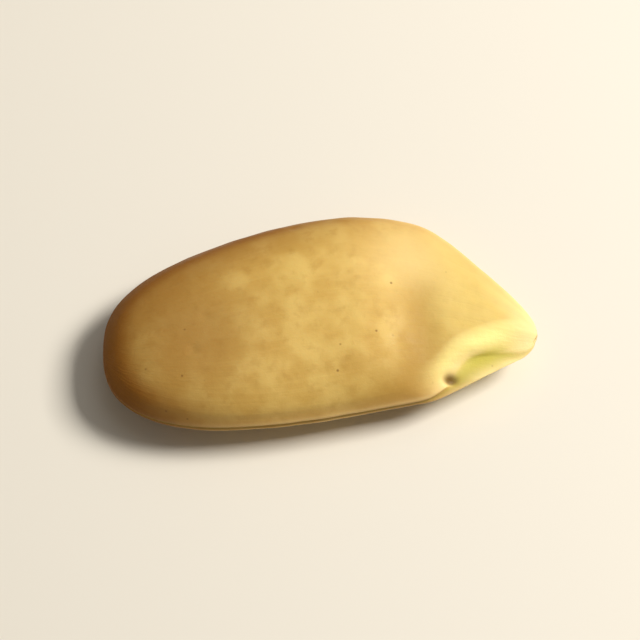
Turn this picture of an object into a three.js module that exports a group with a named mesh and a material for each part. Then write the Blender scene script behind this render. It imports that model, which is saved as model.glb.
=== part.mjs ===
// A melon seed, lying flat on its broad face.
//
// Millimetres, +Z up. +X runs to the beak, the narrow end that was joined to the fruit,
// and +Y to the side that bulges more. The origin is under the middle of the seed, on the
// surface that it lies on.
//
// The seed is one closed body: a sphere, warped by a formula. Its longitude runs round the
// margin, and its latitude runs from the crown of the upper face, over the margin with the
// seam between the two valves, to the crown of the lower face. Until the last step, x is
// counted from the middle of the length, y from the line through both ends, and height
// from the seam.

import * as THREE from 'three';
import { mergeVertices } from 'three/addons/utils/BufferGeometryUtils.js';

// Overall size
const LENGTH = 10.5;
const WIDTH = 5.24; // of each cross-section, before the body's bow
const THICKNESS = 1.95;

// Outline of the broad face
const ROUND_END_FULLNESS = 0.75; // power on the sine: under 1 it fills out the end
const BEAK_FULLNESS = 0.92;
const BEAK_NARROWING = 0.36; // share of the width that the sides draw in by
const NARROW_FROM = 2.4;
const NARROW_TO = 5.25;
const BOW = 0.86; // how far the body bulges towards +Y
const BOW_SKEW = 1.57; // 1 puts the most of it at the middle, more puts it nearer the beak
const BOW_LENGTH = 10.85; // it fades out a little past the tip

// Section, from the crown of a face to the margin
const CROWN_X = -0.9;
const CROWN_Y = 0.5;
const BODY_SQUARENESS = 2.9; // 2 is an ellipse, more is a flatter face with rounder shoulders
const BEAK_SQUARENESS = 2.3;
const BEAK_HALF_ANGLE = 0.6; // longitudes, in radians from the tip, that belong to the beak
const TAIL_THINNING = 0.12; // share of the thickness that is gone at the round end
const TAIL_THIN_FROM = -1.6;
const TAIL_THIN_TO = -5.2;

// The upper and the lower face: its side of the seam, its share of the thickness, its share
// of the full relief on the beak, and the phase of its waves
const UPPER_FACE = { side: 1, share: 0.52, beakRelief: 1, phase: 0 };
const LOWER_FACE = { side: -1, share: 0.48, beakRelief: 0.6, phase: 2.4 };

// The end of the kernel's bulge, an arc across the seed, and the hollow that follows it
const KERNEL_END_X = 2.5;
const KERNEL_END_Y = 0.3;
const KERNEL_END_CURVE_NEAR = 0.06; // how fast the arc falls back, for each square of y
const KERNEL_END_CURVE_FAR = 0.03;
const BEAK_THINNING = 0.2; // share of the thickness lost from the kernel to the beak
const BEAK_THIN_REACH = 1.7; // length over which it goes, ending at the arc
const VALLEY_DEPTH = 0.09;
const VALLEY_REACH = 0.5;
const VALLEY_FADE_FROM = 0.5; // towards the far margin the hollow runs out
const VALLEY_FADE_TO = 2.0;

// The beak's near flank, cut to a plane that meets the margin
const FLANK_HEIGHT = 1.75; // the plane's height over the middle of the seed
const FLANK_FALL_X = 0.33;
const FLANK_FALL_Y = 0.48;
const FLANK_SOFTNESS = 0.09; // rounding of the creases round the flank
const SEAM_SOFTNESS = 0.001; // what is left of it at the seam
const FLANK_LEAST = 0.3; // share of the rounded height that the cut leaves about the tip

// A small pit in that flank, where the seam starts to climb
const PIT_X = 3.05;
const PIT_Y = -1;
const PIT_DEPTH = 0.12;
const PIT_REACH_X = 0.18;
const PIT_REACH_Y = 0.12;

// Faint waves all over the faces: height, radians a millimetre along X and along Y, phase
const WAVES = [
  [0.016, 1.1, 0.7, 0.6],
  [0.012, -0.7, 2.0, 1.9],
  [0.008, 2.3, -1.3, 4.1],
];

// The margin: a seam all round, with a low lip and a shallow channel on either side
const SEAM_DEPTH = 0.038;
const SEAM_HALF_HEIGHT = 0.04;
const LIP_HEIGHT = 0.022;
const LIP_FROM_SEAM = 0.13;
const LIP_HALF_HEIGHT = 0.07;
const CHANNEL_DEPTH = 0.018;
const CHANNEL_FROM_SEAM = 0.32;
const CHANNEL_HALF_HEIGHT = 0.1;

// On the near side of the beak the seam climbs the flank: the lower valve stands out under
// it as a ledge, and the upper valve is set back
const CLIMB_FROM = 2.2;
const CLIMB_LENGTH = 2.2;
const DROP_TO = 5.25;
const DROP_LENGTH = 0.9;
const CLIMB_HEIGHT = 0.12;
const LEDGE_REACH = 0.04;
const LEDGE_HALF_HEIGHT = 0.28;
const UPPER_SETBACK = 0.4;
const SETBACK_FROM = 0.72; // share of the way from the crown to the margin where it begins
const LEDGE_EDGE = 0.06; // half the height over which the ledge goes over into the setback

// The slit at the tip of the beak
const SLIT_DEPTH = 0.06;
const SLIT_HALF_ANGLE = 0.2;

const SPOT_DEPTH = 0.035; // how much the lower face is flattened where the seed rests

// Mesh
const AROUND = 120;
const FACE_TO_FACE = 44;
const BEAK_GATHERING = 0.35; // share by which the columns draw together at the beak
const SEAM_GATHERING = 2.5; // 1 leaves the rings alone, more gathers them at the seam
const CROWN_EVENNESS = 1.45; // half the squareness spaces the rings evenly at the crown

/** Goes smoothly from 0 to 1 as value goes from one number to the other. */
function ease(from, to, value) {
  return THREE.MathUtils.smoothstep((value - from) / (to - from), 0, 1);
}

function bump(offset, reach) {
  return Math.exp(-((offset / reach) ** 2));
}

/** The lower of two heights, with the crease between them rounded. */
function softLower(a, b, softness) {
  const mix = THREE.MathUtils.clamp(0.5 + (b - a) / (2 * softness), 0, 1);
  return THREE.MathUtils.lerp(b, a, mix) - softness * mix * (1 - mix);
}

function softUpper(a, b, softness) {
  return -softLower(-a, -b, softness);
}

/** The margin's point at a longitude, which is 0 at the tip of the beak. */
function margin(longitude) {
  const x = (LENGTH / 2) * Math.cos(longitude);
  const side = Math.sin(longitude);
  const power = x < 0 ? ROUND_END_FULLNESS : BEAK_FULLNESS;
  const narrowing = 1 - BEAK_NARROWING * ease(NARROW_FROM, NARROW_TO, x);
  const halfWidth = (WIDTH / 2) * Math.abs(side) ** power * narrowing;
  const along = Math.max(x + LENGTH / 2, 0) / BOW_LENGTH;
  const bow = BOW * Math.sin(Math.PI * along ** BOW_SKEW);
  return new THREE.Vector2(x, Math.sign(side) * halfWidth + bow);
}

/** How far the seam has climbed, from 0 to 1, at the margin's point with an x of rimX. */
function seamClimb(longitude, rimX) {
  if (longitude > 0) {
    return 0;
  }
  const rising = ease(CLIMB_FROM, CLIMB_FROM + CLIMB_LENGTH, rimX);
  return rising * (1 - ease(DROP_TO - DROP_LENGTH, DROP_TO, rimX));
}

/** How far the margin stands out from the plain section. Reach is 0 at the crown, 1 at the margin. */
function marginRelief(longitude, climb, aboveSeam, reach) {
  const fromSeam = Math.abs(aboveSeam);
  const groove = SEAM_DEPTH + SLIT_DEPTH * bump(longitude, SLIT_HALF_ANGLE);
  const seam = groove * bump(fromSeam, SEAM_HALF_HEIGHT);
  const lip = LIP_HEIGHT * bump(fromSeam - LIP_FROM_SEAM, LIP_HALF_HEIGHT);
  const channel = CHANNEL_DEPTH * bump(fromSeam - CHANNEL_FROM_SEAM, CHANNEL_HALF_HEIGHT);
  const ledge = LEDGE_REACH * bump(fromSeam, LEDGE_HALF_HEIGHT);
  const setback = UPPER_SETBACK * ease(SETBACK_FROM, 1, reach);
  const step = THREE.MathUtils.lerp(ledge, -setback, ease(-LEDGE_EDGE, LEDGE_EDGE, aboveSeam));
  return lip - seam - channel + step * climb;
}

/** The height of a face over the seam before it curves down to the margin. */
function faceHeight(face, x, y) {
  const curve = y < KERNEL_END_Y ? KERNEL_END_CURVE_NEAR : KERNEL_END_CURVE_FAR;
  const pastKernel = x - KERNEL_END_X + curve * (y - KERNEL_END_Y) ** 2;
  const beak = BEAK_THINNING * ease(-BEAK_THIN_REACH, 0, pastKernel);
  const tail = TAIL_THINNING * ease(TAIL_THIN_FROM, TAIL_THIN_TO, x);
  const open = 1 - ease(VALLEY_FADE_FROM, VALLEY_FADE_TO, y);
  const valley = VALLEY_DEPTH * open * bump(pastKernel, VALLEY_REACH) * face.beakRelief;
  let waves = 0;
  for (const [height, alongX, alongY, phase] of WAVES) {
    waves += height * Math.sin(alongX * x + alongY * y + phase + face.phase);
  }
  return THICKNESS * face.share * (1 - beak - tail) - valley + waves;
}

/** How deep the pit is at a place seen from above. */
function pitDepth(face, place) {
  if (face !== UPPER_FACE) {
    return 0;
  }
  return PIT_DEPTH * bump(place.x - PIT_X, PIT_REACH_X) * bump(place.y - PIT_Y, PIT_REACH_Y);
}

/** The coat's point at a longitude and latitude, with the seam at height 0. */
function coatPoint(longitude, latitude) {
  const rim = margin(longitude);
  const beak = bump(longitude, BEAK_HALF_ANGLE);
  const squareness = THREE.MathUtils.lerp(BODY_SQUARENESS, BEAK_SQUARENESS, beak);
  const reach = Math.max(Math.cos(latitude), 0) ** (2 / squareness);
  const x = CROWN_X + (rim.x - CROWN_X) * reach;
  const y = CROWN_Y + (rim.y - CROWN_Y) * reach;

  const face = latitude > 0 ? UPPER_FACE : LOWER_FACE;
  const rounded = faceHeight(face, x, y) * Math.abs(Math.sin(latitude));
  const flank = FLANK_HEIGHT - FLANK_FALL_X * x + FLANK_FALL_Y * y;
  const least = FLANK_LEAST * rounded;
  const softness = THREE.MathUtils.clamp(least, SEAM_SOFTNESS, FLANK_SOFTNESS);
  const cut = softLower(rounded, softUpper(flank, least, softness), softness);
  const height = face.side * THREE.MathUtils.lerp(rounded, cut, face.beakRelief);
  const climb = seamClimb(longitude, rim.x);

  const place = new THREE.Vector2(x, y);
  const outward = new THREE.Vector2(x - CROWN_X, y - CROWN_Y).normalize();
  const relief = marginRelief(longitude, climb, height - CLIMB_HEIGHT * climb, reach);
  place.addScaledVector(outward, relief);
  return new THREE.Vector3(place.x, place.y, height - pitDepth(face, place));
}

/** The latitude for a ring at a height on the unit sphere, with rings gathered at the seam. */
function ringLatitude(height) {
  const fromCrown = 1 - Math.abs(Math.asin(THREE.MathUtils.clamp(height, -1, 1))) / (Math.PI / 2);
  const gathered = 1 - (1 - fromCrown) ** SEAM_GATHERING;
  return Math.sign(height) * Math.acos(Math.min(gathered ** CROWN_EVENNESS, 1));
}

/** The whole coat as one closed geometry, with a flat spot below to rest on. */
function coatGeometry() {
  const sphere = new THREE.SphereGeometry(1, AROUND, FACE_TO_FACE);
  sphere.rotateX(Math.PI / 2);
  sphere.deleteAttribute('normal');
  sphere.deleteAttribute('uv');
  const geometry = mergeVertices(sphere);

  const position = geometry.getAttribute('position');
  const point = new THREE.Vector3();
  const floor = SPOT_DEPTH - THICKNESS * LOWER_FACE.share;
  for (let i = 0; i < position.count; i += 1) {
    point.fromBufferAttribute(position, i);
    const even = Math.atan2(point.y, point.x);
    const longitude = even - BEAK_GATHERING * Math.sin(even);
    point.copy(coatPoint(longitude, ringLatitude(point.z)));
    position.setXYZ(i, point.x, point.y, Math.max(point.z, floor));
  }

  geometry.computeBoundingBox();
  const middle = geometry.boundingBox.getCenter(new THREE.Vector3());
  geometry.translate(-middle.x, -middle.y, -geometry.boundingBox.min.z);
  geometry.computeVertexNormals();
  return geometry;
}

const coat = new THREE.MeshStandardMaterial({ color: 0xd0a55b, roughness: 0.5, metalness: 0 });

const seed = new THREE.Mesh(coatGeometry(), coat);
seed.name = 'seed';

const melonSeed = new THREE.Group();
melonSeed.add(seed);

export default melonSeed;
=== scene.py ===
"""A melon seed lying flat on its broad face, dressed for a close view.

The coat's form is a sphere warped by a formula. It is worked out in millimetres, with x counted
from the middle of the length, y from the line through both ends and height from the seam, and
brought to metres and to its place in the frame at the end. Longitude runs round the margin, with 0
at the tip of the beak. Latitude runs from the crown of the upper face, over the margin with the
seam between the two valves, to the crown of the lower face.
"""

import logging
import math
from dataclasses import dataclass, field
from enum import Enum

import bmesh
import bpy
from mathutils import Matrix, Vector, noise


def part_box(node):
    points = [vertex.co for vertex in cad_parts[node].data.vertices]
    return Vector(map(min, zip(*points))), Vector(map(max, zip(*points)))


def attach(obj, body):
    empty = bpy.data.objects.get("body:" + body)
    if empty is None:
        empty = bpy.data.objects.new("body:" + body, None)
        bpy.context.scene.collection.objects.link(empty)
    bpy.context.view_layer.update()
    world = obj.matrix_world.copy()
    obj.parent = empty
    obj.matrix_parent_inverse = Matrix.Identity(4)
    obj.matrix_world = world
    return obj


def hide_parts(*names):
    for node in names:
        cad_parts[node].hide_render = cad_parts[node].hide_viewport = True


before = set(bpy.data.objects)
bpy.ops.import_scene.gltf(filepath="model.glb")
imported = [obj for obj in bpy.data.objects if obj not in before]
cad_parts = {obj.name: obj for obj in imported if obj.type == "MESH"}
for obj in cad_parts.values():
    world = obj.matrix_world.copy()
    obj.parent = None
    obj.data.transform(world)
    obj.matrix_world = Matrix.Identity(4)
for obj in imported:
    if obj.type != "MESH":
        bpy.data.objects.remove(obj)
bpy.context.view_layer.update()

logging.basicConfig(level=logging.INFO, format="%(name)s: %(message)s")
log = logging.getLogger("melon_seed")

MM = 0.001
SEED_NODE = "seed"

Colour = tuple[float, float, float, float]
Span = tuple[float, float]


def ease(start: float, stop: float, value: float) -> float:
    """Goes smoothly from 0 to 1 as value goes from start to stop.

    Args:
        start: The value at which it is 0.
        stop: The value at which it is 1, which may be the lower of the two.
        value: The value asked for.

    Returns:
        A number from 0 to 1.
    """
    share = min(max((value - start) / (stop - start), 0.0), 1.0)
    return share * share * (3.0 - 2.0 * share)


def bump(offset: float, reach: float) -> float:
    """A smooth hill, 1 at no offset, with a third left at an offset of reach."""
    return math.exp(-((offset / reach) ** 2))


def mix(first: float, second: float, share: float) -> float:
    """Goes from first to second as share goes from 0 to 1."""
    return first + (second - first) * share


def lower_share(first: float, second: float, softness: float) -> float:
    """How much the first of two heights is the lower one.

    Args:
        first: One height.
        second: The other height.
        softness: Half the difference over which the two blend.

    Returns:
        1 where the first is plainly lower, 0 where the second is, and between near the crease.
    """
    return min(max(0.5 + (second - first) / (2.0 * softness), 0.0), 1.0)


def linear(red: int, green: int, blue: int) -> Colour:
    """A display colour as the linear colour that shaders take.

    Args:
        red: The red channel, from 0 to 255.
        green: The green channel.
        blue: The blue channel.

    Returns:
        The colour, opaque.
    """

    def level(channel: int) -> float:
        """One channel, made linear."""
        share = channel / 255.0
        return share / 12.92 if share <= 0.04045 else ((share + 0.055) / 1.055) ** 2.4

    return (level(red), level(green), level(blue), 1.0)


class Face(Enum):
    """The two broad faces of the seed."""

    UPPER = "upper"
    LOWER = "lower"


@dataclass(frozen=True)
class FaceForm:
    """How one face differs from the other.

    side is 1 above the seam and -1 below it, share the face's share of the thickness, beak_relief
    its share of the full relief on the beak, and phase the phase of its waves.
    """

    side: float
    share: float
    beak_relief: float
    phase: float


FACE_FORMS = {
    Face.UPPER: FaceForm(side=1.0, share=0.52, beak_relief=1.0, phase=0.0),
    Face.LOWER: FaceForm(side=-1.0, share=0.48, beak_relief=0.6, phase=2.4),
}


@dataclass(frozen=True)
class Outline:
    """The outline of the broad face, seen from above."""

    length: float = 10.5
    width: float = 5.24
    round_end_fullness: float = 0.75
    beak_fullness: float = 0.92
    beak_narrowing: float = 0.36
    narrow_from: float = 2.4
    narrow_to: float = 5.25
    bow_height: float = 0.86
    bow_skew: float = 1.57
    bow_length: float = 10.85

    def bow(self, x: float) -> float:
        """How far the middle of the cross-section at x is shifted to the fuller side."""
        along = max(x + self.length / 2, 0.0) / self.bow_length
        return self.bow_height * math.sin(math.pi * along**self.bow_skew)

    def point(self, longitude: float) -> Vector:
        """The margin's point at a longitude.

        Args:
            longitude: The angle round the margin.

        Returns:
            The point, in the plane of the seam.
        """
        x = self.length / 2 * math.cos(longitude)
        side = math.sin(longitude)
        power = self.round_end_fullness if x < 0 else self.beak_fullness
        narrowing = 1 - self.beak_narrowing * ease(self.narrow_from, self.narrow_to, x)
        half_width = self.width / 2 * abs(side) ** power * narrowing
        return Vector((x, math.copysign(half_width, side) + self.bow(x)))


@dataclass(frozen=True)
class Seam:
    """The seam round the margin and its two lips.

    On the near side of the beak it climbs the flank: the lower valve stands out under it as a
    ledge, and the upper valve is set back.
    """

    depth: float = 0.038
    half_height: float = 0.04
    lip_height: float = 0.022
    lip_from_seam: float = 0.13
    lip_half_height: float = 0.07
    channel_depth: float = 0.018
    channel_from_seam: float = 0.32
    channel_half_height: float = 0.1
    climb_from: float = 2.2
    climb_length: float = 2.2
    drop_to: float = 5.25
    drop_length: float = 0.9
    climb_height: float = 0.12
    ledge_reach: float = 0.04
    upper_setback: float = 0.4
    setback_from: float = 0.72
    ledge_edge: float = 0.06
    ledge_half_height: float = 0.28
    slit_depth: float = 0.06
    slit_half_angle: float = 0.2

    def climb(self, longitude: float, rim_x: float) -> float:
        """How far the seam has climbed at a point of the margin.

        Args:
            longitude: The angle round the margin.
            rim_x: The point's place along the seed.

        Returns:
            A number from 0 to 1, and 0 all along the far side.
        """
        if longitude > 0:
            return 0.0
        rising = ease(self.climb_from, self.climb_from + self.climb_length, rim_x)
        return rising * (1 - ease(self.drop_to - self.drop_length, self.drop_to, rim_x))

    def relief(self, longitude: float, climb: float, above: float, reach: float) -> float:
        """How far the margin stands out from the plain section.

        Args:
            longitude: The angle round the margin.
            climb: How far the seam has climbed there.
            above: The height over the seam.
            reach: How far out the place is, 0 at the crown and 1 at the margin.

        Returns:
            A distance outwards, below 0 where the margin is hollowed.
        """
        from_seam = abs(above)
        groove = self.depth + self.slit_depth * bump(longitude, self.slit_half_angle)
        lip = self.lip_height * bump(from_seam - self.lip_from_seam, self.lip_half_height)
        from_channel = from_seam - self.channel_from_seam
        channel = self.channel_depth * bump(from_channel, self.channel_half_height)
        ledge = self.ledge_reach * bump(from_seam, self.ledge_half_height)
        setback = self.upper_setback * ease(self.setback_from, 1.0, reach)
        step = mix(ledge, -setback, ease(-self.ledge_edge, self.ledge_edge, above))
        return lip - groove * bump(from_seam, self.half_height) - channel + step * climb


@dataclass(frozen=True)
class Wave:
    """A faint wave over a broad face, with its turns in radians a millimetre."""

    height: float
    turn_x: float
    turn_y: float
    phase: float

    def rise(self, x: float, y: float, phase: float) -> float:
        """How far the wave lifts a place, with a face's own phase."""
        return self.height * math.sin(self.turn_x * x + self.turn_y * y + self.phase + phase)


class Zone(Enum):
    """The zones of the coat, each named as its attribute on the mesh."""

    SEAM = "seam"
    LIP = "lip"
    RIM = "rim"
    BEAK = "beak"
    FLANK = "flank"
    VALLEY = "valley"
    GAPE = "gape"
    LEDGE = "ledge"
    TIP = "tip"
    PAINTED_HIGHLIGHT = "pale"
    LEFT_HALF_SHADE = "left_half_shade"
    SHADE_BESIDE_PIT = "shade_beside_pit"
    FAR = "far"
    STREAK = "streak"
    PIT = "pit"
    TAIL = "tail"
    EDGE = "edge"


@dataclass(frozen=True)
class Patch:
    """A soft patch of the coat, seen from above, with its reach along and across its own run."""

    x: float
    y: float
    reach_along: float
    reach_across: float
    turn: float = 0.0

    def share(self, x: float, y: float) -> float:
        """How much a place belongs to the patch.

        Args:
            x: The place along the seed.
            y: The place across it.

        Returns:
            A number from 0 to 1.
        """
        offset = Vector((x - self.x, y - self.y))
        run = Vector((math.cos(self.turn), math.sin(self.turn)))
        return bump(offset.dot(run), self.reach_along) * bump(offset.cross(run), self.reach_across)


@dataclass(frozen=True)
class Spot:
    """A place on the coat, in the terms that the zones are told by.

    x and y are seen from above, and longitude runs round the margin. reach is 0 at the crown and 1
    at the margin. height is counted from the plain seam and above from the climbing one. climb is
    how far the seam has climbed, and flank and pit how much the place belongs to each, all three
    from 0 to 1.
    """

    face: Face
    x: float
    y: float
    longitude: float
    reach: float
    height: float
    above: float
    climb: float
    flank: float
    pit: float


@dataclass(frozen=True)
class CoatSample:
    """One place on the coat, its place in the run of the fibres, and its share of each zone."""

    point: Vector
    fibre: Vector
    zones: dict[Zone, float]


@dataclass(frozen=True)
class ZoneMap:
    """Where each zone of the coat lies.

    A pair of numbers is where a zone, or its fading, begins and where it is full. The last word of
    its name says what is measured: along is the place along the seed, kernel the distance past the
    kernel's end, reach the share of the way from the crown to the margin, climb how far the seam
    has climbed, above the height over it, and angle an angle round the margin.
    """

    beak_past_kernel: Span = (-0.5, 1.3)
    flank_along: Span = (1.7, 3.2)
    flank_fade_along: Span = (4.3, 5.2)
    flank_left_at_tip: float = 0.6
    valley_shift: float = 0.15
    gape_climb: Span = (0.0, 0.5)
    gape_along: Span = (2.7, 3.8)
    gape_rise: float = 0.03
    gape_half_height: float = 0.055
    ledge_above: Span = (0.03, -0.05)
    ledge_half_height: float = 0.5
    tip_half_angle: float = 0.45
    tip_reach: Span = (0.84, 0.99)
    # Painted highlight on the far side of the face, towards the beak.
    pale: Patch = Patch(x=2.4, y=2.05, reach_along=1.2, reach_across=1.2)
    # Painted shade over the face towards the blunt end.
    left_half_shade: Patch = Patch(x=-3.0, y=0.1, reach_along=1.6, reach_across=1.6)
    # Painted shade on the near side of the body, below and left of the pit.
    shade_beside_pit: Patch = Patch(x=1.9, y=-1.45, reach_along=1.1, reach_across=0.9)
    streak: Patch = Patch(x=4.15, y=-0.46, reach_along=0.45, reach_across=0.2, turn=0.594)
    # Painted shade along the far margin, on the half towards the blunt end.
    far_reach: Span = (0.4, 0.85)
    far_longitude: float = 2.1
    far_half_angle: float = 0.95
    # Painted shade round the blunt end, strongest near the margin.
    tail_along: Span = (-0.5, -5.2)
    tail_left_on_crown: float = 0.3
    tail_half_height: float = 0.55
    # Painted shade in a band along the margin at the far side of the blunt end.
    edge_reach: Span = (0.79, 0.92)
    edge_longitude: float = 2.7
    edge_angle: Span = (1.6, 0.8)

    def shares(self, seed: "SeedForm", spot: Spot) -> dict[Zone, float]:
        """How much a place belongs to each zone, from 0 to 1.

        Args:
            seed: The form of the seed.
            spot: The place.

        Returns:
            The share of each zone.
        """
        seam = seed.seam
        at_tip = mix(1.0, self.flank_left_at_tip, ease(*self.flank_fade_along, spot.x))
        from_gape = spot.above - self.gape_rise
        gape_open = ease(*self.gape_climb, spot.climb) * ease(*self.gape_along, spot.x)
        under_seam = ease(*self.ledge_above, spot.above)
        at_margin = mix(self.tail_left_on_crown, 1.0, bump(spot.height, self.tail_half_height))
        from_far = spot.longitude - self.far_longitude
        from_end = abs(spot.longitude % math.tau - self.edge_longitude)
        return {
            Zone.SEAM: bump(spot.above, seam.half_height),
            Zone.LIP: bump(abs(spot.above) - seam.lip_from_seam, seam.lip_half_height),
            Zone.RIM: bump(spot.above, seam.channel_from_seam),
            Zone.BEAK: ease(*self.beak_past_kernel, seed.past_kernel(spot.x, spot.y)),
            Zone.FLANK: spot.flank * ease(*self.flank_along, spot.x) * at_tip,
            Zone.VALLEY: seed.valley(spot.x + self.valley_shift, spot.y),
            Zone.GAPE: gape_open * bump(from_gape, self.gape_half_height),
            Zone.LEDGE: spot.climb * under_seam * bump(spot.above, self.ledge_half_height),
            Zone.TIP: bump(spot.longitude, self.tip_half_angle) * ease(*self.tip_reach, spot.reach),
            Zone.PAINTED_HIGHLIGHT: self.pale.share(spot.x, spot.y),
            Zone.LEFT_HALF_SHADE: self.left_half_shade.share(spot.x, spot.y),
            Zone.SHADE_BESIDE_PIT: self.shade_beside_pit.share(spot.x, spot.y),
            Zone.FAR: ease(*self.far_reach, spot.reach) * bump(from_far, self.far_half_angle),
            Zone.STREAK: self.streak.share(spot.x, spot.y) if spot.face is Face.UPPER else 0.0,
            Zone.PIT: spot.pit,
            Zone.TAIL: ease(*self.tail_along, spot.x) * at_margin,
            Zone.EDGE: ease(*self.edge_reach, spot.reach) * ease(*self.edge_angle, from_end),
        }


@dataclass(frozen=True)
class SeedForm:
    """The form of the whole coat."""

    outline: Outline = field(default_factory=Outline)
    seam: Seam = field(default_factory=Seam)
    zone_map: ZoneMap = field(default_factory=ZoneMap)
    thickness: float = 1.95
    crown_x: float = -0.9
    crown_y: float = 0.5
    body_squareness: float = 2.9
    beak_squareness: float = 2.3
    beak_half_angle: float = 0.6
    tail_thinning: float = 0.12
    tail_thin_from: float = -1.6
    tail_thin_to: float = -5.2
    kernel_end_x: float = 2.5
    kernel_end_y: float = 0.3
    kernel_end_curve_near: float = 0.06
    kernel_end_curve_far: float = 0.03
    beak_thinning: float = 0.2
    beak_thin_reach: float = 1.7
    valley_depth: float = 0.09
    valley_reach: float = 0.5
    valley_fade_from: float = 0.5
    valley_fade_to: float = 2.0
    flank_height: float = 1.75
    flank_fall_x: float = 0.33
    flank_fall_y: float = 0.48
    flank_softness: float = 0.09
    seam_softness: float = 0.001
    flank_least: float = 0.3
    pit_x: float = 3.05
    pit_y: float = -1.0
    pit_depth: float = 0.12
    pit_reach_x: float = 0.18
    pit_reach_y: float = 0.12
    waves: tuple[Wave, ...] = (
        Wave(height=0.016, turn_x=1.1, turn_y=0.7, phase=0.6),
        Wave(height=0.012, turn_x=-0.7, turn_y=2.0, phase=1.9),
        Wave(height=0.008, turn_x=2.3, turn_y=-1.3, phase=4.1),
    )
    spot_depth: float = 0.035
    fibre_half_width: float = 2.6
    fibre_least_width: float = 0.5

    @property
    def floor(self) -> float:
        """The height of the flat spot, from the seam."""
        return self.spot_depth - self.thickness * FACE_FORMS[Face.LOWER].share

    def past_kernel(self, x: float, y: float) -> float:
        """How far a place is past the arc where the kernel's bulge ends.

        Args:
            x: The place along the seed.
            y: The place across it.

        Returns:
            The distance along the seed, below 0 over the kernel.
        """
        near = y < self.kernel_end_y
        curve = self.kernel_end_curve_near if near else self.kernel_end_curve_far
        return x - self.kernel_end_x + curve * (y - self.kernel_end_y) ** 2

    def valley(self, x: float, y: float) -> float:
        """The share of the hollow's full depth at a place, from 0 to 1."""
        still_open = 1 - ease(self.valley_fade_from, self.valley_fade_to, y)
        return still_open * bump(self.past_kernel(x, y), self.valley_reach)

    def face_height(self, form: FaceForm, x: float, y: float) -> float:
        """The height of a face over the seam, before it curves down to the margin.

        Args:
            form: The form of the face.
            x: The place along the seed.
            y: The place across it.

        Returns:
            The height.
        """
        beak = self.beak_thinning * ease(-self.beak_thin_reach, 0.0, self.past_kernel(x, y))
        tail = self.tail_thinning * ease(self.tail_thin_from, self.tail_thin_to, x)
        valley = self.valley_depth * self.valley(x, y) * form.beak_relief
        waves = sum(wave.rise(x, y, form.phase) for wave in self.waves)
        return self.thickness * form.share * (1 - beak - tail) - valley + waves

    def cut(self, rounded: float, x: float, y: float) -> tuple[float, float]:
        """Cuts the rounded section down to the flank's plane.

        Args:
            rounded: The height of the section before the cut.
            x: The place along the seed.
            y: The place across it.

        Returns:
            The height after the cut, and how much the place belongs to the flank, from 0 to 1.
        """
        least = self.flank_least * rounded
        softness = min(max(least, self.seam_softness), self.flank_softness)
        plane = self.flank_height - self.flank_fall_x * x + self.flank_fall_y * y
        bare = lower_share(least, plane, softness)
        kept = mix(least, plane, bare) + softness * bare * (1 - bare)
        flank = 1 - lower_share(rounded, kept, softness)
        return mix(rounded, kept, flank) - softness * flank * (1 - flank), flank

    def pit(self, face: Face, place: Vector) -> float:
        """The share of the pit's depth at a place.

        Args:
            face: The face that the place is on.
            place: The place, seen from above.

        Returns:
            A number from 0 to 1, and 0 on the lower face.
        """
        if face is not Face.UPPER:
            return 0.0
        across = bump(place.y - self.pit_y, self.pit_reach_y)
        return bump(place.x - self.pit_x, self.pit_reach_x) * across

    def fibre(self, x: float, y: float, z: float) -> Vector:
        """A place counted along and across the fibres, which draw together at both ends.

        Args:
            x: The place along the seed.
            y: The place across it.
            z: The height from the seam.

        Returns:
            The place, with x along the fibres and y across them.
        """
        half_length = self.outline.length / 2
        across = math.sqrt(max(1 - (x / half_length) ** 2, 0.0)) * self.fibre_half_width
        spread = self.fibre_half_width / max(across, self.fibre_least_width)
        return Vector((x, (y - self.outline.bow(x)) * spread, z))

    def sample(self, longitude: float, latitude: float) -> CoatSample:
        """The coat at a longitude and latitude.

        Args:
            longitude: The angle round the margin.
            latitude: The angle from the seam, up to a right angle at a crown.

        Returns:
            The place and its zones.
        """
        rim = self.outline.point(longitude)
        beak = bump(longitude, self.beak_half_angle)
        squareness = mix(self.body_squareness, self.beak_squareness, beak)
        reach = max(math.cos(latitude), 0.0) ** (2.0 / squareness)
        x = self.crown_x + (rim.x - self.crown_x) * reach
        y = self.crown_y + (rim.y - self.crown_y) * reach

        face = Face.UPPER if latitude > 0 else Face.LOWER
        form = FACE_FORMS[face]
        rounded = self.face_height(form, x, y) * abs(math.sin(latitude))
        cut, flank = self.cut(rounded, x, y)
        height = mix(rounded, cut, form.beak_relief)
        climb = self.seam.climb(longitude, rim.x)
        above = form.side * height - self.seam.climb_height * climb

        outward = Vector((x - self.crown_x, y - self.crown_y))
        if outward.length > 0:
            outward.normalize()
        place = Vector((x, y)) + outward * self.seam.relief(longitude, climb, above, reach)
        pit = self.pit(face, place)
        z = max(form.side * height - self.pit_depth * pit, self.floor)
        on_flank = flank * form.beak_relief
        spot = Spot(face, x, y, longitude, reach, height, above, climb, on_flank, pit)
        return CoatSample(
            point=Vector((place.x, place.y, z)),
            fibre=self.fibre(x, y, z),
            zones=self.zone_map.shares(self, spot),
        )


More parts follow.
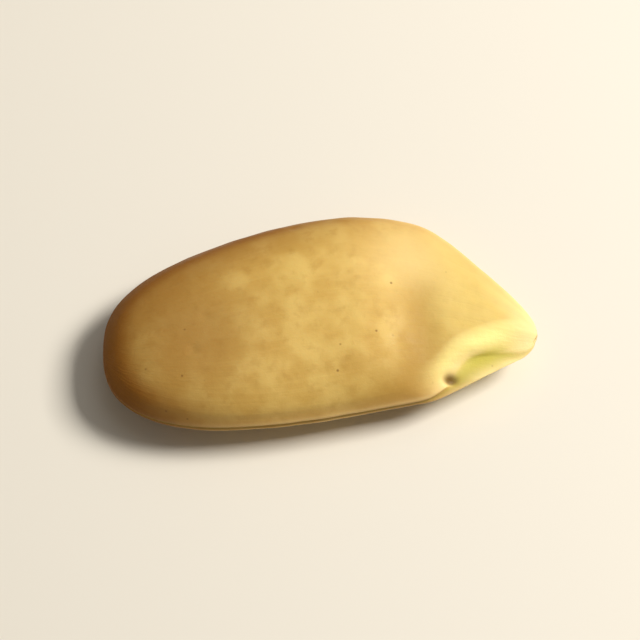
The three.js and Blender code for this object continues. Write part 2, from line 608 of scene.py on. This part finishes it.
@dataclass(frozen=True)
class FineRelief:
    """Relief too fine for the solid: dents, ripples, fibres and small pocks.

    Each is a depth below the plain form, so that the seed keeps its size. Scales are in repeats a
    millimetre.
    """

    dent_depth: float = 0.03
    dent_scale: float = 0.55
    ripple_depth: float = 0.008
    ripple_scale: float = 2.1
    fibre_depth: float = 0.006
    beak_fibre_depth: float = 0.03
    fibre_along: float = 0.35
    fibre_across: float = 2.6
    rim_depth: float = 0.02
    rim_scale: float = 1.9
    pock_depth: float = 0.022
    pock_scale: float = 0.75
    pock_reach: float = 0.13
    spot_guard: float = 0.06

    def depth(self, point: Vector, fibre: Vector, beak: float, rim: float) -> float:
        """How far the coat lies below its plain form.

        Args:
            point: The place, with the height from the flat spot.
            fibre: The place counted along and across the fibres.
            beak: How much the place belongs to the beak.
            rim: How much it belongs to the margin.

        Returns:
            A depth, 0 or more.
        """
        dents = self.dent_depth * self._share(point * self.dent_scale)
        ripples = self.ripple_depth * self._share(point * self.ripple_scale)
        run = Vector(
            (fibre.x * self.fibre_along, fibre.y * self.fibre_across, fibre.z * self.fibre_across)
        )
        fibres = mix(self.fibre_depth, self.beak_fibre_depth, beak) * self._share(run)
        edge = self.rim_depth * rim * self._share(point * self.rim_scale)
        nearest = noise.voronoi(point * self.pock_scale)[0][0] / self.pock_scale
        pock = self.pock_depth * bump(nearest, self.pock_reach)
        above_spot = ease(0.0, self.spot_guard, point.z)
        return (dents + ripples + fibres + edge + pock) * above_spot

    @staticmethod
    def _share(point: Vector) -> float:
        """Smooth noise from 0 to 1 at a point."""
        return min(max(0.5 + 0.5 * noise.noise(point), 0.0), 1.0)


@dataclass
class SeedCoat:
    """The seed's coat as a fine mesh that stands in the place of the plain solid."""

    form: SeedForm = field(default_factory=SeedForm)
    fine: FineRelief = field(default_factory=FineRelief)
    around: int = 440
    face_to_face: int = 216
    seam_gathering: float = 2.5
    crown_evenness: float = 1.45

    def build(self, name: str) -> bpy.types.Object:
        """Makes the piece and fits it to the solid's box.

        Args:
            name: The piece's name.

        Returns:
            The piece, at the origin, with its place in its mesh.
        """
        bm = bmesh.new()
        bmesh.ops.create_uvsphere(
            bm, u_segments=self.around, v_segments=self.face_to_face, radius=1.0
        )
        self._warp(bm)
        self._sink_fine_relief(bm)
        bmesh.ops.scale(bm, vec=(MM, MM, MM), verts=bm.verts)
        self._fit(bm)
        bmesh.ops.recalc_face_normals(bm, faces=bm.faces)
        for face in bm.faces:
            face.smooth = True
        mesh = bpy.data.meshes.new(name)
        bm.to_mesh(mesh)
        bm.free()
        piece = bpy.data.objects.new(name, mesh)
        bpy.context.scene.collection.objects.link(piece)
        log.info("%s has %d faces", name, len(mesh.polygons))
        return piece

    def _latitude(self, height: float) -> float:
        """The latitude for a ring of the sphere, with rings gathered at the seam.

        Args:
            height: The ring's height on the unit sphere.

        Returns:
            The latitude, with the sign of the height.
        """
        from_crown = 1 - abs(math.asin(min(max(height, -1.0), 1.0))) / (math.pi / 2)
        gathered = 1 - (1 - from_crown) ** self.seam_gathering
        return math.copysign(math.acos(min(gathered**self.crown_evenness, 1.0)), height)

    def _warp(self, bm: bmesh.types.BMesh) -> None:
        """Turns the sphere into the seed, and notes each vertex's zones and fibre place.

        Args:
            bm: The sphere, of radius 1.
        """
        layers = {zone: bm.verts.layers.float.new(zone.value) for zone in Zone}
        fibre = bm.verts.layers.float_vector.new("fibre")
        for vert in bm.verts:
            longitude = math.atan2(vert.co.y, vert.co.x)
            sample = self.form.sample(longitude, self._latitude(vert.co.z))
            vert.co = sample.point
            vert[fibre] = sample.fibre
            for zone, layer in layers.items():
                vert[layer] = sample.zones[zone]

    def _sink_fine_relief(self, bm: bmesh.types.BMesh) -> None:
        """Sinks the fine relief into the coat.

        Args:
            bm: The warped mesh, in millimetres.
        """
        bm.normal_update()
        beak = bm.verts.layers.float[Zone.BEAK.value]
        rim = bm.verts.layers.float[Zone.RIM.value]
        fibre = bm.verts.layers.float_vector["fibre"]
        for vert in bm.verts:
            above_spot = vert.co - Vector((0.0, 0.0, self.form.floor))
            depth = self.fine.depth(above_spot, vert[fibre], vert[beak], vert[rim])
            vert.co -= vert.normal * depth

    def _fit(self, bm: bmesh.types.BMesh) -> None:
        """Sets the mesh in the solid's place, inside its box.

        Args:
            bm: The mesh, in metres.
        """
        low, high = self._box(bm)
        cad_low, cad_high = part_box(SEED_NODE)
        shrink = [min(1.0, (cad_high[i] - cad_low[i]) / (high[i] - low[i])) for i in range(3)]
        bmesh.ops.scale(bm, vec=shrink, verts=bm.verts)
        low, high = self._box(bm)
        shift = (cad_low + cad_high - low - high) / 2
        shift.z = cad_low.z - low.z
        bmesh.ops.translate(bm, vec=shift, verts=bm.verts)

    @staticmethod
    def _box(bm: bmesh.types.BMesh) -> tuple[Vector, Vector]:
        """The box round a mesh.

        Args:
            bm: The mesh.

        Returns:
            The box's lowest and its highest corner.
        """
        low = Vector([min(vert.co[i] for vert in bm.verts) for i in range(3)])
        high = Vector([max(vert.co[i] for vert in bm.verts) for i in range(3)])
        return low, high


class NodeBoard:
    """Places nodes in one node tree and joins them."""

    ROUGHNESS = 0.55

    def __init__(self, tree: bpy.types.NodeTree) -> None:
        """Takes an empty tree.

        Args:
            tree: The tree that the nodes go into.
        """
        self.tree = tree

    def node(self, kind: str, inputs: dict | None = None, **settings: object) -> bpy.types.Node:
        """Adds a node.

        Args:
            kind: The kind of node.
            inputs: What goes into its sockets, by name or number: a value, or a node's output.
            **settings: The node's own settings.

        Returns:
            The node.
        """
        made = self.tree.nodes.new(kind)
        for key, value in settings.items():
            setattr(made, key, value)
        for key, value in (inputs or {}).items():
            self.feed(made.inputs[key], value)
        return made

    def feed(self, socket: bpy.types.NodeSocket, value: object) -> None:
        """Links an output to a socket, or sets a plain value on it.

        Args:
            socket: The socket that takes it.
            value: The output or the plain value.
        """
        if isinstance(value, bpy.types.NodeSocket):
            self.tree.links.new(value, socket)
        else:
            socket.default_value = value

    def math(self, operation: str, *values: object) -> bpy.types.NodeSocket:
        """The result of an operation on one to three values or outputs."""
        return self.node("ShaderNodeMath", dict(enumerate(values)), operation=operation).outputs[0]

    def zone(self, zone: Zone) -> bpy.types.NodeSocket:
        """How much each place belongs to a zone, from the mesh."""
        return self.node("ShaderNodeAttribute", attribute_name=zone.value).outputs["Fac"]

    def blend(self, share: object, first: object, second: object) -> bpy.types.NodeSocket:
        """A colour between two others.

        Args:
            share: How far it goes from the first to the second, from 0 to 1.
            first: The colour at 0.
            second: The colour at 1.

        Returns:
            The colour.
        """
        made = self.node("ShaderNodeMix", data_type="RGBA")
        sockets = {socket.identifier: socket for socket in made.inputs}
        self.feed(sockets["Factor_Float"], share)
        self.feed(sockets["A_Color"], first)
        self.feed(sockets["B_Color"], second)
        return next(out for out in made.outputs if out.identifier == "Result_Color")

    def remap(
        self, value: object, low: float, high: float, to: Span = (0.0, 1.0)
    ) -> bpy.types.NodeSocket:
        """A value taken smoothly from one span to another.

        Args:
            value: The value.
            low: Where it gives the first end of to.
            high: Where it gives the second end of to.
            to: The two ends of the result.

        Returns:
            The result, which stays at an end beyond low or high.
        """
        made = self.node("ShaderNodeMapRange", interpolation_type="SMOOTHSTEP")
        for key, given in {"Value": value, "From Min": low, "From Max": high}.items():
            self.feed(made.inputs[key], given)
        self.feed(made.inputs["To Min"], to[0])
        self.feed(made.inputs["To Max"], to[1])
        return made.outputs["Result"]

    def noise(self, vector: object, scale: float, detail: float) -> bpy.types.NodeSocket:
        """Smooth noise about 0.5, at scale repeats to the unit of vector."""
        inputs = {"Vector": vector, "Scale": scale, "Detail": detail, "Roughness": self.ROUGHNESS}
        return self.node("ShaderNodeTexNoise", inputs).outputs[0]


# Painted shade: the brown for the hollow past the kernel and the patch beside the pit.
VALLEY_SHADE_BROWN = linear(170, 132, 56)
# Painted shade: the brown that darkens the blunt end and the far margin.
PAINTED_SHADE_BROWN = linear(136, 83, 8)
LEDGE_CREAM = linear(250, 228, 168)
GAPE_GREEN = linear(196, 184, 76)


@dataclass(frozen=True)
class Tint:
    """A colour laid over one zone of the coat, and how strong it is where the zone is full."""

    zone: Zone
    strength: float
    colour: Colour


@dataclass(frozen=True)
class CoatFinish:
    """The dry, satin coat: tan over the kernel and yellow at the beak, with painted shade in brown
    round the blunt end, along the far margin, in the hollow past the kernel and beside the pit, a
    painted highlight on the far side towards the beak, and painted light on the near flank.

    The tints are laid on in their order. A pair of numbers named as a band is where an effect
    begins and where it is full. Scales are in repeats a millimetre.
    """

    tan: Colour = linear(199, 162, 83)
    tan_pale: Colour = linear(215, 183, 104)
    tan_deep: Colour = linear(178, 138, 64)
    pit_brown: Colour = linear(118, 90, 34)
    speck_brown: Colour = linear(120, 82, 36)
    tints: tuple[Tint, ...] = (
        # Painted shade over the face towards the blunt end.
        Tint(Zone.LEFT_HALF_SHADE, 0.7, linear(158, 116, 54)),
        # Painted highlight on the far side of the face, towards the beak.
        Tint(Zone.PAINTED_HIGHLIGHT, 0.65, linear(243, 217, 150)),
        # Painted shade in the hollow where the kernel's bulge ends.
        Tint(Zone.VALLEY, 0.7, VALLEY_SHADE_BROWN),
        Tint(Zone.BEAK, 0.6, linear(216, 193, 110)),
        # Painted light: the near flank facet is made bright pale yellow, as if lit by the key lamp.
        Tint(Zone.FLANK, 0.95, linear(255, 244, 160)),
        # Painted shade on the near side of the body beside the pit.
        Tint(Zone.SHADE_BESIDE_PIT, 0.75, VALLEY_SHADE_BROWN),
        # Painted shade along the far margin.
        Tint(Zone.FAR, 0.6, PAINTED_SHADE_BROWN),
        Tint(Zone.RIM, 0.45, linear(206, 156, 96)),
        Tint(Zone.LIP, 0.5, linear(240, 212, 148)),
        # Painted shade in a band along the far margin at the blunt end.
        Tint(Zone.EDGE, 0.88, PAINTED_SHADE_BROWN),
        # Painted shade round the blunt end.
        Tint(Zone.TAIL, 0.85, PAINTED_SHADE_BROWN),
        Tint(Zone.SEAM, 0.6, linear(158, 138, 54)),
        Tint(Zone.TIP, 0.7, LEDGE_CREAM),
        Tint(Zone.LEDGE, 0.85, LEDGE_CREAM),
        Tint(Zone.GAPE, 0.7, GAPE_GREEN),
        Tint(Zone.STREAK, 0.85, GAPE_GREEN),
    )
    per_mm: float = 1000.0
    mottle_scale: float = 1.1
    mottle_band: Span = (0.36, 0.68)
    fleck_scale: float = 3.2
    fleck_band: Span = (0.48, 0.74)
    fleck_strength: float = 0.4
    fibre_along: float = 0.5
    fibre_across: float = 9.0
    fibre_band: Span = (0.45, 0.8)
    fibre_strength: float = 0.3
    pit_band: Span = (0.1, 1.0)
    speck_scale: float = 2.2
    speck_band: Span = (0.1, 0.03)
    speck_choice: Span = (0.72, 0.78)
    speck_strength: float = 0.7
    patch_scale: float = 1.7
    patch_share: float = 0.6
    roughness_band: Span = (0.35, 0.65)
    roughness: Span = (0.54, 0.7)
    film_scale: float = 1.1
    film_band: Span = (0.5, 0.7)
    film_weight: float = 0.06
    film_roughness: float = 0.32
    refraction: float = 1.48
    specular_level: float = 0.3
    glow_weight: float = 0.12
    glow_radius: tuple[float, float, float] = (1.0, 0.55, 0.22)
    glow_depth: float = 0.35 * MM
    grain_scale: float = 26.0
    skin_scale: float = 6.4
    grain_height: float = 0.12
    fibre_height: float = 0.5
    skin_height: float = 0.5
    bump_strength: float = 0.7
    bump_depth: float = 0.02 * MM

    def material(self, name: str) -> bpy.types.Material:
        """Makes the finish as a material.

        Args:
            name: The material's name.

        Returns:
            The material.
        """
        made = bpy.data.materials.new(name)
        made.use_nodes = True
        made.node_tree.nodes.clear()
        board = NodeBoard(made.node_tree)
        place = self._place(board)
        fibres = self._fibres(board)
        shader = board.node("ShaderNodeBsdfPrincipled", {
            "Base Color": self._colour(board, place, fibres),
            "Roughness": self._roughness(board, place, fibres),
            "Normal": self._relief(board, place, fibres),
            "Coat Weight": self._film(board, place),
            "Coat Roughness": self.film_roughness,
            "IOR": self.refraction,
            "Specular IOR Level": self.specular_level,
            "Subsurface Weight": self.glow_weight,
            "Subsurface Radius": self.glow_radius,
            "Subsurface Scale": self.glow_depth,
        })
        board.node("ShaderNodeOutputMaterial", {"Surface": shader.outputs[0]})
        return made

    def _place(self, board: NodeBoard) -> bpy.types.NodeSocket:
        """The place on the piece.

        Args:
            board: Where the nodes go.

        Returns:
            The place in millimetres.
        """
        coordinates = board.node("ShaderNodeTexCoord").outputs["Object"]
        scale = (self.per_mm, self.per_mm, self.per_mm)
        return board.node("ShaderNodeMapping", {"Vector": coordinates, "Scale": scale}).outputs[0]

    def _fibres(self, board: NodeBoard) -> bpy.types.NodeSocket:
        """Fine streaks that run along the seed and draw together at its ends.

        Args:
            board: Where the nodes go.

        Returns:
            The streaks, as smooth noise about 0.5.
        """
        run = board.node("ShaderNodeAttribute", attribute_name="fibre").outputs["Vector"]
        scale = (self.fibre_along, self.fibre_across, self.fibre_across)
        stretched = board.node("ShaderNodeMapping", {"Vector": run, "Scale": scale}).outputs[0]
        return board.noise(stretched, scale=1.0, detail=4.0)

    def _colour(
        self, board: NodeBoard, place: bpy.types.NodeSocket, fibres: bpy.types.NodeSocket
    ) -> bpy.types.NodeSocket:
        """The coat's colour, from the broad tan to the pit and the specks.

        Args:
            board: Where the nodes go.
            place: The place in millimetres.
            fibres: The streaks along the seed.

        Returns:
            The colour.
        """
        mottle = board.noise(place, self.mottle_scale, detail=2.0)
        fleck = board.noise(place, self.fleck_scale, detail=3.0)
        flecked = board.remap(fleck, *self.fleck_band, (0.0, self.fleck_strength))
        streaked = board.remap(fibres, *self.fibre_band, (0.0, self.fibre_strength))
        colour = board.blend(board.remap(mottle, *self.mottle_band), self.tan, self.tan_pale)
        colour = board.blend(flecked, colour, self.tan_deep)
        colour = board.blend(streaked, colour, self.tan_pale)
        for tint in self.tints:
            share = board.math("MULTIPLY", board.zone(tint.zone), tint.strength)
            colour = board.blend(share, colour, tint.colour)
        pit = board.remap(board.zone(Zone.PIT), *self.pit_band)
        colour = board.blend(pit, colour, self.pit_brown)
        return board.blend(self._specks(board, place), colour, self.speck_brown)

    def _specks(self, board: NodeBoard, place: bpy.types.NodeSocket) -> bpy.types.NodeSocket:
        """Sparse dark specks.

        Args:
            board: Where the nodes go.
            place: The place in millimetres.

        Returns:
            The mask, from 0 to the specks' strength.
        """
        cells = board.node("ShaderNodeTexVoronoi", {"Vector": place, "Scale": self.speck_scale})
        near = board.remap(cells.outputs["Distance"], *self.speck_band)
        pick = board.node("ShaderNodeSeparateColor", {0: cells.outputs["Color"]}).outputs[0]
        chosen = board.remap(pick, *self.speck_choice)
        return board.math("MULTIPLY", board.math("MULTIPLY", near, chosen), self.speck_strength)

    def _roughness(
        self, board: NodeBoard, place: bpy.types.NodeSocket, fibres: bpy.types.NodeSocket
    ) -> bpy.types.NodeSocket:
        """How rough the coat is, smoother in patches and rougher along the fibres.

        Args:
            board: Where the nodes go.
            place: The place in millimetres.
            fibres: The streaks along the seed.

        Returns:
            The roughness.
        """
        patches = board.noise(place, self.patch_scale, detail=3.0)
        patches = board.math("MULTIPLY", patches, self.patch_share)
        run = board.math("MULTIPLY", fibres, 1 - self.patch_share)
        return board.remap(board.math("ADD", patches, run), *self.roughness_band, self.roughness)

    def _film(self, board: NodeBoard, place: bpy.types.NodeSocket) -> bpy.types.NodeSocket:
        """Where a thin film of dried pulp still shines."""
        film = board.noise(place, self.film_scale, detail=2.0)
        return board.remap(film, *self.film_band, (0.0, self.film_weight))

    def _relief(
        self, board: NodeBoard, place: bpy.types.NodeSocket, fibres: bpy.types.NodeSocket
    ) -> bpy.types.NodeSocket:
        """The finest relief, as a normal.

        Args:
            board: Where the nodes go.
            place: The place in millimetres.
            fibres: The streaks along the seed.

        Returns:
            The normal.
        """
        grain = board.noise(place, self.grain_scale, detail=2.0)
        grain = board.math("MULTIPLY", grain, self.grain_height)
        skin = board.noise(place, self.skin_scale, detail=4.0)
        height = board.math("MULTIPLY_ADD", fibres, self.fibre_height, grain)
        height = board.math("MULTIPLY_ADD", skin, self.skin_height, height)
        inputs = {"Height": height, "Strength": self.bump_strength, "Distance": self.bump_depth}
        return board.node("ShaderNodeBump", inputs).outputs[0]


@dataclass(frozen=True)
class Lamp:
    """A square soft light that faces the seed, with its side in metres and its power in watts."""

    name: str
    place: tuple[float, float, float]
    size: float
    power: float
    colour: tuple[float, float, float]


@dataclass
class Studio:
    """A pale floor, soft lights and a camera that looks steeply down on the seed."""

    floor_half_size: float = 0.6
    floor_colour: Colour = linear(226, 222, 214)
    floor_roughness: float = 0.7
    world_colour: Colour = linear(250, 240, 220)
    world_strength: float = 0.2
    lamps: tuple[Lamp, ...] = (
        Lamp("key", (0.1, 0.028, 0.1), size=0.05, power=0.285, colour=(1.0, 0.95, 0.86)),
        Lamp("fill", (0.1, 0.12, 0.3), size=0.25, power=0.12, colour=(0.95, 0.97, 1.0)),
    )
    azimuth: float = -1.6
    elevation: float = 66.0
    lens: float = 120.0
    sensor: float = 36.0
    seed_share: float = 0.68
    clip_near: float = 0.1
    clip_far: float = 100.0

    def build(self) -> None:
        """Makes the floor, the lights and the camera."""
        self._floor()
        self._world()
        for lamp in self.lamps:
            self._light(lamp)
        self._camera()
        bpy.context.scene.view_settings.view_transform = "Standard"

    def _floor(self) -> None:
        """A plain pale floor under the seed."""
        bm = bmesh.new()
        bmesh.ops.create_grid(bm, x_segments=1, y_segments=1, size=self.floor_half_size)
        mesh = bpy.data.meshes.new("floor")
        bm.to_mesh(mesh)
        bm.free()
        floor = bpy.data.objects.new("floor", mesh)
        bpy.context.scene.collection.objects.link(floor)
        paint = bpy.data.materials.new("floor_paint")
        paint.use_nodes = True
        shader = paint.node_tree.nodes["Principled BSDF"]
        shader.inputs["Base Color"].default_value = self.floor_colour
        shader.inputs["Roughness"].default_value = self.floor_roughness
        mesh.materials.append(paint)

    def _world(self) -> None:
        """Even light from all round."""
        world = bpy.data.worlds.new("studio")
        world.use_nodes = True
        background = world.node_tree.nodes["Background"]
        background.inputs["Color"].default_value = self.world_colour
        background.inputs["Strength"].default_value = self.world_strength
        bpy.context.scene.world = world

    def _light(self, lamp: Lamp) -> None:
        """Hangs one lamp, turned to the seed.

        Args:
            lamp: The lamp.
        """
        area = bpy.data.lights.new(lamp.name, "AREA")
        area.size = lamp.size
        area.energy = lamp.power
        area.color = lamp.colour
        light = bpy.data.objects.new(lamp.name, area)
        light.location = lamp.place
        light.rotation_euler = (-Vector(lamp.place)).to_track_quat("-Z", "Y").to_euler()
        bpy.context.scene.collection.objects.link(light)

    def _camera(self) -> None:
        """A long lens that holds the seed in the middle of the frame."""
        low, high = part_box(SEED_NODE)
        centre = (low + high) / 2
        distance = (high.x - low.x) / self.seed_share * self.lens / self.sensor
        azimuth, elevation = math.radians(self.azimuth), math.radians(self.elevation)
        level = math.cos(elevation)
        back = Vector((math.sin(azimuth) * level, -math.cos(azimuth) * level, math.sin(elevation)))
        lens = bpy.data.cameras.new("camera")
        lens.lens = self.lens
        lens.sensor_width = self.sensor
        lens.clip_start = distance * self.clip_near
        lens.clip_end = distance * self.clip_far
        camera = bpy.data.objects.new("camera", lens)
        camera.location = centre + back * distance
        camera.rotation_euler = (-back).to_track_quat("-Z", "Y").to_euler()
        bpy.context.scene.collection.objects.link(camera)
        bpy.context.scene.camera = camera


def main() -> None:
    """Builds the seed, its finish and the studio round it."""
    seed = SeedCoat().build("melon_seed")
    seed.data.materials.append(CoatFinish().material("melon_seed_coat"))
    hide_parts(SEED_NODE)
    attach(seed, "root")
    Studio().build()
    log.info("studio is ready")


if __name__ == "__main__":
    main()
